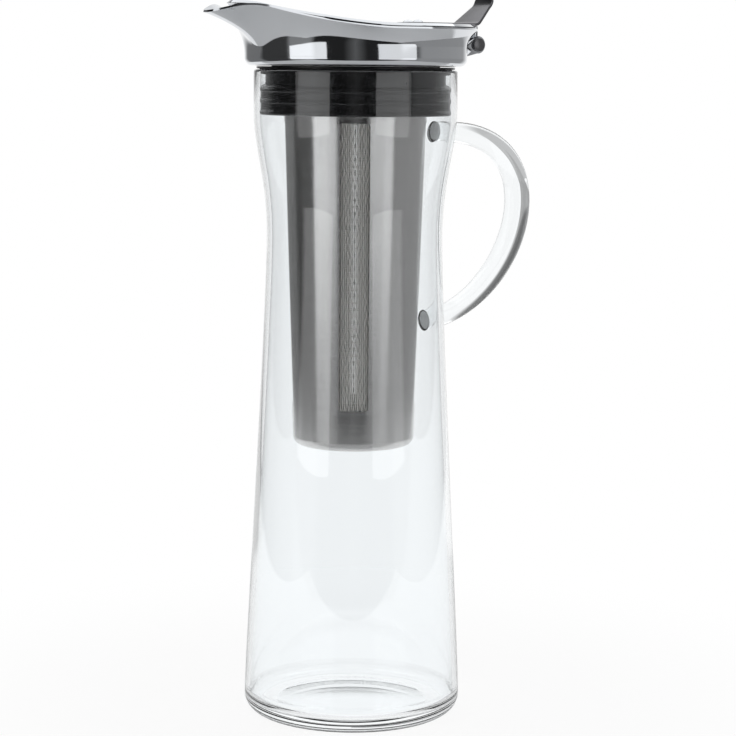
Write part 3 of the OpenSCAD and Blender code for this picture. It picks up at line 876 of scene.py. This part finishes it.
def lever_form():
    """Strip bent up from the flap, splayed at the bend, narrowed to a curled thumb rest."""
    bend = np.array((LEVER_X, STRIP_Z + STRIP_T / 2 + BEND_R))
    start = bend + BEND_R * np.array((math.sin(LEVER_TILT), -math.cos(LEVER_TILT)))
    end = start + LEVER_LEN * np.array((math.cos(LEVER_TILT), math.sin(LEVER_TILT)))
    curl = end + CURL_R * np.array((-math.sin(LEVER_TILT), math.cos(LEVER_TILT)))
    tilt, curled = math.degrees(LEVER_TILT), math.degrees(CURL_TILT)
    flat = [(x, STRIP_Z + STRIP_T / 2) for x in np.linspace(STRIP_X, LEVER_X, 40)[:-1]]
    line = flat + arc(bend, BEND_R, -90, tilt - 90, 14)
    line += [tuple(start + (end - start) * u) for u in np.linspace(0, 1, 16)[1:-1]]
    line += arc(curl, CURL_R, tilt - 90, curled - 90, 18)
    line = np.array(line)
    along = np.gradient(line, axis=0)
    along /= np.linalg.norm(along, axis=1)[:, None]
    run = run_along(line)
    widths = np.interp(line[:, 0], (COLLAR_R, LEVER_X, start[0], end[0]),
                       (STRIP_W, LEVER_W, LEVER_W, LEVER_TIP_W)) / 2
    ends = [0.0, 0.15, 0.5, 1.0, 1.7]
    sections = []
    stations = sorted(set(list(run) + ends + [run[-1] - e for e in ends]))
    for s in stations:
        at = np.array([np.interp(s, run, line[:, k]) for k in (0, 1)])
        way = np.array([np.interp(s, run, along[:, k]) for k in (0, 1)])
        way /= np.linalg.norm(way)
        up = np.array((-way[1], way[0]))
        short = LEVER_CORNER - min(s, run[-1] - s, LEVER_CORNER)
        half = np.interp(s, run, widths) - LEVER_CORNER + math.sqrt(max(0.0, LEVER_CORNER ** 2 - short ** 2))
        square = softened([(-half, -STRIP_T / 2), (half, -STRIP_T / 2),
                           (half, STRIP_T / 2), (-half, STRIP_T / 2)], LEVER_EDGE)
        sections.append([(at[0] + up[0] * t, y, at[1] + up[1] * t) for y, t in square])
    return lofted(sections)


def rivets_form():
    """Two domed rivets side by side through the lever's strip."""
    height = RIVET_HEAD_R / 2
    ball = (RIVET_HEAD_R ** 2 + height ** 2) / 2 / height
    dome = arc((0.0, height - ball), ball, math.degrees(math.asin((ball - height) / ball)), 90, 12)
    outline = [(0.0, -STRIP_T), (PIN_R, -STRIP_T), (PIN_R, -RIVET_SINK), (RIVET_HEAD_R, -RIVET_SINK)]
    outline += dome[:-1] + [(0.0, height)]
    head = revolved(outline, SMALL_STEPS, open_ends=True)
    return merged(*[moved(head, Matrix.Translation((RIVET_X, side * RIVET_PITCH / 2, STRIP_Z + STRIP_T)))
                    for side in (-1, 1)])


piece("hinge_ears", bracket_form(), lid_steel, "lid", ("hinge_bracket",))
piece("turned_pin", pin_form(), pin_steel, "lid", ("hinge_pin",))
piece("rolled_knuckle", knuckle_form(), lid_steel, "flap", ("hinge_knuckle",))
piece("thumb_rest", lever_form(), lever_steel, "flap", ("thumb_lever",))
piece("strip_rivets", rivets_form(), lid_steel, "flap", ("lever_rivets",))


# Camera, at the photograph's angle

CAMERA_AZIMUTH = math.radians(-33)
CAMERA_AWAY = 1030.0
CAMERA_Z = 293.5
CAMERA_PITCH = math.radians(7.5)
CAMERA_ASIDE = 6.5
CAMERA_ROLL = math.radians(0.45)
FRAME_PX = 736
FOCUS_PX = 2290
SENSOR = 36.0

to_camera = Vector((math.sin(CAMERA_AZIMUTH), -math.cos(CAMERA_AZIMUTH), 0))
to_right = Vector((math.cos(CAMERA_AZIMUTH), math.sin(CAMERA_AZIMUTH), 0))

camera_data = bpy.data.cameras.new("camera")
camera_data.sensor_width = SENSOR
camera_data.lens = SENSOR * FOCUS_PX / FRAME_PX
camera_data.clip_start = 0.05
camera_data.clip_end = 50.0
camera = bpy.data.objects.new("camera", camera_data)
bpy.context.scene.collection.objects.link(camera)
eye = to_camera * CAMERA_AWAY + Vector((0, 0, CAMERA_Z))
target = to_right * CAMERA_ASIDE + Vector((0, 0, CAMERA_Z - CAMERA_AWAY * math.tan(CAMERA_PITCH)))
look = (target - eye).to_track_quat("-Z", "Y").to_matrix().to_4x4()
camera.matrix_world = Matrix.Translation(eye * MM) @ look @ Matrix.Rotation(CAMERA_ROLL, 4, "Z")
bpy.context.scene.camera = camera


# Studio: white sweep behind, dark room in front, a softbox on each side of the camera and one overhead

SOFTBOX_TURNS = (math.radians(-49), math.radians(43))
SOFTBOX_AWAY = 880.0
SOFTBOX_LOW = 45.0
SOFTBOX_SIZE = (650.0, 800.0)
SOFTBOX_RADIANCE = (1.08, 0.96)
TOP_SIZE = (1900.0, 1900.0)
TOP_Z = 1500.0
TOP_BEHIND = 300.0
TOP_RADIANCE = 1.1


def softbox(name, place, aim, size, radiance):
    """Rectangular lamp whose face has this radiance, so that it shows in the steel as bright as that."""
    lamp = bpy.data.lights.new(name, "AREA")
    lamp.shape = "RECTANGLE"
    lamp.size, lamp.size_y = size[0] * MM, size[1] * MM
    lamp.energy = radiance * math.pi * lamp.size * lamp.size_y
    shown = bpy.data.objects.new(name, lamp)
    bpy.context.scene.collection.objects.link(shown)
    turn = (aim - place).to_track_quat("-Z", "Y").to_matrix().to_4x4()
    shown.matrix_world = Matrix.Translation(place * MM) @ turn


for turn, name, radiance in zip(SOFTBOX_TURNS, ("softbox_left", "softbox_right"), SOFTBOX_RADIANCE):
    away = (to_camera * math.cos(turn) + to_right * math.sin(turn)) * SOFTBOX_AWAY
    height = Vector((0, 0, SOFTBOX_LOW + SOFTBOX_SIZE[1] / 2))
    softbox(name, away + height, height, SOFTBOX_SIZE, radiance)
top = Vector((0, 0, TOP_Z)) - to_camera * TOP_BEHIND
softbox("softbox_top", top, Vector((0, 0, 0)), TOP_SIZE, TOP_RADIANCE)


# Bounds on a ray's path, between the whole numbers that it counts: turned once or twice, through one wall
TURNED = 0.5
TURNED_TWICE = 1.5
WALL_SIDES = 2.5


def seen_through(tree, path, leaves):
    """1 for a ray that came through glass alone, 0 for one that steel or silicone turned back into it.

    Rays that the glass itself turned count as clear: after many turns, and after one where leaves is 1. So do
    those that scattered off the pale seams, which stand for light piped along the rod.
    """
    turns, scatters = path.outputs["Glossy Depth"], path.outputs["Diffuse Depth"]
    straight = add(tree, "Math", {0: turns, 1: TURNED}, operation="LESS_THAN")
    often = add(tree, "Math", {0: turns, 1: TURNED_TWICE}, operation="GREATER_THAN")
    scattered = add(tree, "Math", {0: scatters, 1: TURNED}, operation="GREATER_THAN")
    clear = leaves
    for other in (straight, often, scattered):
        clear = add(tree, "Math", {0: clear, 1: other}, operation="MAXIMUM")
    return add(tree, "Math", {0: clear, 1: path.outputs["Is Transmission Ray"]}, operation="MULTIPLY")


def one_wall(tree, path):
    """1 for a ray that came through one thickness of glass, such as the handle's rod, and not the jug."""
    return add(tree, "Math", {0: path.outputs["Transmission Depth"], 1: WALL_SIDES}, operation="LESS_THAN")


def grey_by_angle(tree, way, levels):
    """Grey of a direction from the pitcher, by its angle off the camera's side, in degrees to the right."""
    ahead = add(tree, "VectorMath", {0: way, 1: tuple(to_camera)}, operation="DOT_PRODUCT")
    aside = add(tree, "VectorMath", {0: way, 1: tuple(to_right)}, operation="DOT_PRODUCT")
    turn = add(tree, "Math", {0: aside, 1: ahead}, operation="ARCTAN2")
    share = add(tree, "MapRange", {"Value": turn, "From Min": -math.pi, "From Max": math.pi})
    ramp = add(tree, "ValToRGB", {"Fac": share})
    stops = ramp.color_ramp.elements
    while len(stops) < len(levels):
        stops.new(1.0)
    for stop, (degrees, level) in zip(stops, levels):
        stop.position = degrees / 360 + 0.5
        stop.color = (level, level, level, 1)
    return ramp


def backdrop(name, form, material):
    """Shows a form that belongs to the studio, not to the object."""
    shown = bpy.data.objects.new(name, made_mesh(name, form))
    bpy.context.scene.collection.objects.link(shown)
    shown.data.materials.append(material)
    return shown


# Sweep: its edges, the pitcher's soft shadow, where glass and steel see it white, and painted shade for the
# rod
FLOOR_FRONT = 420.0
FLOOR_BACK = 2600.0
FLOOR_SIDE = 480.0
SHADOW_REACH = (80.0, 300.0)
SHADOW_WHITE = 0.92
SWEEP_UNDER = 40.0
SWEEP_NEAR = 600.0
SWEEP_BEHIND = (290.0, 380.0)
FLOOR_PAINTED_SHADE = (130.0, 70.0)
PAINTED_SHADE_DIM = 0.52


def studio_floor():
    """White sweep that takes the pitcher's shadow.

    It fades into the white backdrop for the camera, for glass with the sweep behind it, and far behind the
    pitcher for steel.
    """
    material, tree, place = new_material("painted_white_sweep")
    path = add(tree, "LightPath")
    through = path.outputs["Is Transmission Ray"]
    away = add(tree, "VectorMath", {0: place}, operation="LENGTH")
    front = add(tree, "VectorMath", {0: place, 1: tuple(to_camera)}, operation="DOT_PRODUCT")
    right = add(tree, "VectorMath", {0: place, 1: tuple(to_right)}, operation="DOT_PRODUCT")
    fade = add(tree, "MapRange", {
        "Value": away, "From Min": SHADOW_REACH[0] * MM, "From Max": SHADOW_REACH[1] * MM,
        "To Min": SHADOW_WHITE, "To Max": 1.0}, interpolation_type="SMOOTHSTEP")
    under = add(tree, "Math", {0: front, 1: SWEEP_UNDER * MM}, operation="LESS_THAN")
    near = add(tree, "Math", {0: away, 1: SWEEP_NEAR * MM}, operation="LESS_THAN")
    glassy = add(tree, "Math", {0: under, 1: near}, operation="MULTIPLY")
    glassy = add(tree, "Math", {0: glassy, 1: through}, operation="MULTIPLY")
    behind = add(tree, "MapRange", {
        "Value": front, "From Min": -SWEEP_BEHIND[0] * MM, "From Max": -SWEEP_BEHIND[1] * MM},
        interpolation_type="SMOOTHSTEP")
    steely = add(tree, "Math", {0: behind, 1: path.outputs["Is Glossy Ray"]}, operation="MULTIPLY")
    seen = path.outputs["Is Camera Ray"]
    for other in (seen_through(tree, path, one_wall(tree, path)), glassy, steely):
        seen = add(tree, "Math", {0: seen, 1: other}, operation="MAXIMUM")
    share = add(tree, "Math", {0: seen, 1: fade}, operation="MULTIPLY")
    # Painted shade: behind the pitcher and left of the handle, rays through one thickness of glass see the
    # sweep dimmed
    shade = add(tree, "MapRange", {
        "Value": right, "From Min": FLOOR_PAINTED_SHADE[0] * MM, "From Max": FLOOR_PAINTED_SHADE[1] * MM},
        interpolation_type="SMOOTHSTEP")
    for other in (behind, one_wall(tree, path), through):
        shade = add(tree, "Math", {0: shade, 1: other}, operation="MULTIPLY")
    level = add(tree, "MapRange", {"Value": shade, "To Min": 1.0, "To Max": PAINTED_SHADE_DIM})
    paint = add(tree, "BsdfDiffuse", {"Color": linear("#F0F0F0")})
    white = add(tree, "Emission", {"Color": (1, 1, 1, 1), "Strength": level})
    mix = add(tree, "MixShader", {0: share, 1: paint, 2: white})
    add(tree, "OutputMaterial", {"Surface": mix})
    return material


corners = [(-FLOOR_SIDE, FLOOR_FRONT), (FLOOR_SIDE, FLOOR_FRONT), (FLOOR_SIDE, -FLOOR_BACK),
           (-FLOOR_SIDE, -FLOOR_BACK)]
floor_form = [tuple(to_right * x + to_camera * y) for x, y in corners], [(0, 1, 2, 3)]
floor = backdrop("floor", floor_form, studio_floor())

# Painted shade for the handle's rod: a dark sheet at the left behind the pitcher, greyed by angle, with a
# paler band low down. Only one thickness of glass shows it, so it draws the dark line in the handle's rod
SHADE_SHEET_AWAY = 600.0
SHADE_SHEET_Z = (110.0, 1100.0)
PAINTED_BAND_Z = (205.0, 235.0)
PAINTED_BAND_GREY = "#A8A8A8"
SHADE_SHEET_TURNS = (-180, -80)
PAINTED_SHADE_GREYS = ((-180, 0.9), (-175, 0.22), (-163, 0.13), (-150, 0.2), (-138, 0.38), (-120, 0.48), (-95, 0.6),
               (-80, 1.0))


def painted_shade_sheet():
    """Painted shade, given off as a dim glow: a dark sheet that all rays pass but those that came straight
    through one thickness of glass.
    """
    material, tree, place = new_material("painted_rod_shade")
    height = add(tree, "SeparateXYZ", {0: place})
    paler_band = add(tree, "MapRange", {
        "Value": height.outputs["Z"], "From Min": PAINTED_BAND_Z[0] * MM, "From Max": PAINTED_BAND_Z[1] * MM},
        interpolation_type="SMOOTHSTEP")
    # Painted shade: greys by angle off the camera's side, paler along a band low down, given off as a glow
    shade = add(tree, "Mix", {
        "Factor": paler_band, "A": linear(PAINTED_BAND_GREY), "B": grey_by_angle(tree, place, PAINTED_SHADE_GREYS)},
        data_type="RGBA")
    path = add(tree, "LightPath")
    straight = add(tree, "Math", {0: path.outputs["Glossy Depth"], 1: TURNED}, operation="LESS_THAN")
    rod = path.outputs["Is Transmission Ray"]
    for other in (one_wall(tree, path), straight):
        rod = add(tree, "Math", {0: rod, 1: other}, operation="MULTIPLY")
    clear = add(tree, "BsdfTransparent")
    cloth = add(tree, "Emission", {"Color": shade, "Strength": 1.0})
    mix = add(tree, "MixShader", {0: rod, 1: clear, 2: cloth})
    add(tree, "OutputMaterial", {"Surface": mix})
    return material


def shade_sheet_form():
    """Upright strip of a cylinder round the pitcher."""
    turns = np.radians(np.linspace(*SHADE_SHEET_TURNS, 40))
    around = [(to_camera * math.cos(t) + to_right * math.sin(t)) * SHADE_SHEET_AWAY for t in turns]
    return [tuple(p + Vector((0, 0, z))) for z in SHADE_SHEET_Z for p in around], grid_faces(2, len(turns))


shade_sheet = backdrop("shade_sheet", shade_sheet_form(), painted_shade_sheet())
shade_sheet.visible_camera = shade_sheet.visible_diffuse = shade_sheet.visible_glossy = shade_sheet.visible_shadow = False

# Grey of the room by angle off the camera's side: level with it and above, and below it
ROOM = ((-180, 1.0), (-165, 1.0), (-150, 0.2), (-118, 0.18), (-110, 0.02), (-75, 0.015), (-12, 0.02),
        (0, 0.12), (12, 0.02), (64, 0.02), (72, 0.35), (145, 0.39), (162, 1.0), (180, 1.0))
UNDER = ((-180, 1.0), (-165, 1.0), (-150, 0.2), (-118, 0.2), (-110, 0.05), (-75, 0.05), (-70, 0.27),
         (-46, 0.27), (-41, 0.02), (-12, 0.02), (0, 0.12), (12, 0.02), (46, 0.02), (51, 0.27), (64, 0.27),
         (72, 0.33), (145, 0.34), (162, 1.0), (180, 1.0))
CEILING = 0.12
# Bounds on a direction: its rise, up to the horizon and the ceiling, and how far it points to the camera.
# Rays that the glass turned once leave as clear ones behind a single wall, and upwards out of the foot
HORIZON = (-0.03, 0.0)
CEILING_RISE = (0.6, 0.9)
WALL_BACK = -0.8
FOOT_RISE = 0.05
FOOT_BACK = -0.5


def studio_world():
    """Room that is white behind the pitcher and dark elsewhere, but white to the camera and clear glass."""
    world = bpy.data.worlds.new("studio")
    world.use_nodes = True
    tree = world.node_tree
    tree.nodes.clear()
    way = add(tree, "TexCoord").outputs["Generated"]
    up = add(tree, "SeparateXYZ", {0: way}).outputs["Z"]
    ahead = add(tree, "VectorMath", {0: way, 1: tuple(to_camera)}, operation="DOT_PRODUCT")
    level = add(tree, "MapRange", {
        "Value": up, "From Min": HORIZON[0], "From Max": HORIZON[1]}, interpolation_type="SMOOTHSTEP")
    overhead = add(tree, "MapRange", {
        "Value": up, "From Min": CEILING_RISE[0], "From Max": CEILING_RISE[1]},
        interpolation_type="SMOOTHSTEP")
    path = add(tree, "LightPath")
    back = add(tree, "Math", {0: ahead, 1: WALL_BACK}, operation="LESS_THAN")
    wall = add(tree, "Math", {0: back, 1: one_wall(tree, path)}, operation="MULTIPLY")
    high = add(tree, "Math", {0: up, 1: FOOT_RISE}, operation="GREATER_THAN")
    behind = add(tree, "Math", {0: ahead, 1: FOOT_BACK}, operation="LESS_THAN")
    foot = add(tree, "Math", {0: high, 1: behind}, operation="MULTIPLY")
    leaves = add(tree, "Math", {0: wall, 1: foot}, operation="MAXIMUM")
    white = (1, 1, 1, 1)
    seen = grey_by_angle(tree, way, UNDER)
    for share, other in ((level, grey_by_angle(tree, way, ROOM)),
                         (overhead, (CEILING, CEILING, CEILING, 1)),
                         (seen_through(tree, path, leaves), white),
                         (path.outputs["Is Camera Ray"], white)):
        seen = add(tree, "Mix", {"Factor": share, "A": seen, "B": other}, data_type="RGBA")
    light = add(tree, "Background", {"Color": seen, "Strength": 1.0})
    add(tree, "OutputWorld", {"Surface": light})
    bpy.context.scene.world = world


studio_world()
bpy.context.scene.view_settings.view_transform = "Standard"
